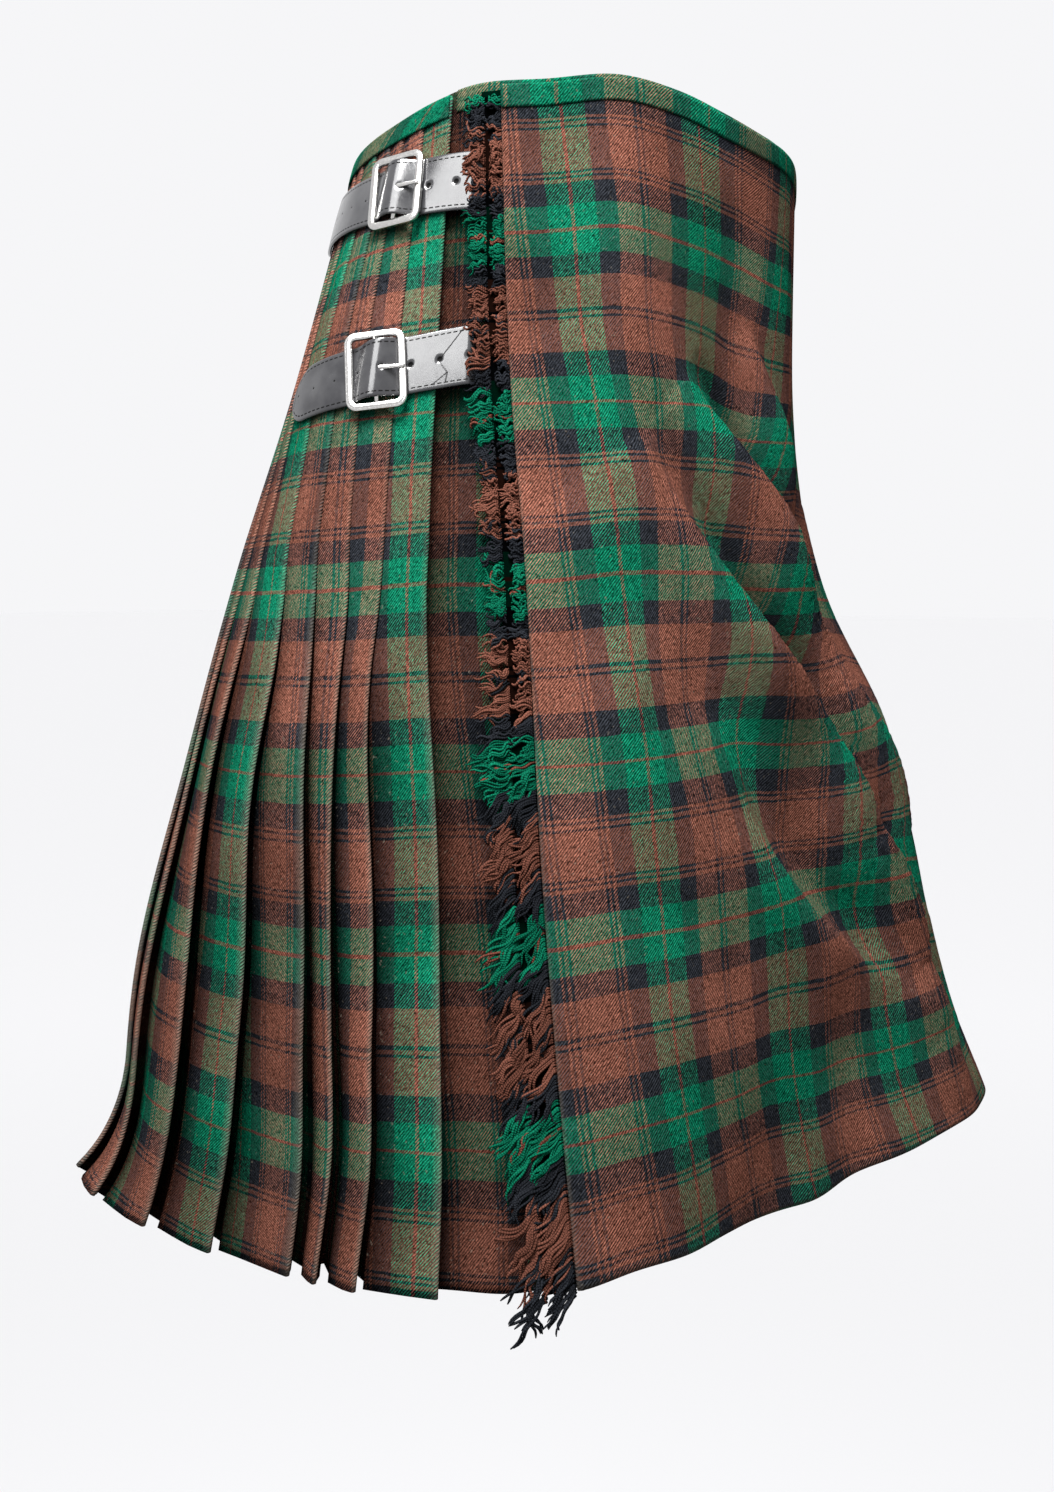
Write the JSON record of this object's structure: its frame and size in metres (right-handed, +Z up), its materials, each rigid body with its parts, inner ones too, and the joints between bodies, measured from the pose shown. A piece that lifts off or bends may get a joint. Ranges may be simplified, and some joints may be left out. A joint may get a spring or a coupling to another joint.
{
  "type": "kilt",
  "caption": "Wrap-over kilt in checked wool: flat fringed aprons, knife pleats round the back, leather straps with square buckles.",
  "frame": {"origin": "centre of the waist, level with its top edge, where the wearer's waist holds the kilt up", "axes": "+Z up along the body, -Y towards the wearer's front, +X towards the wearer's left"},
  "size_m": [0.5367, 0.4918, 0.6256],
  "materials": {
    "wool_check": "2/2 twill wool in a green, rust and black check",
    "yarn": "loose woollen fringe yarn",
    "strap_leather": "glossy black strap leather with a stitched edge",
    "nickel": "polished nickel plate"
  },
  "bodies": {
    "root": {"over_apron": "wool_check", "under_apron": "wool_check", "pleated_back": "wool_check", "band_over_apron": "wool_check", "band_back": "wool_check", "band_under_apron": "wool_check", "fringe_outer": "yarn", "fringe_inner": "yarn", "strap_right_upper": "strap_leather", "strap_right_lower": "strap_leather", "strap_left": "strap_leather", "chape_right_upper": "strap_leather", "chape_right_lower": "strap_leather", "chape_left": "strap_leather", "buckle_right_upper": "nickel", "buckle_right_lower": "nickel", "buckle_left": "nickel", "prong_right_upper": "nickel", "prong_right_lower": "nickel", "prong_left": "nickel"}
  },
  "joints": []
}
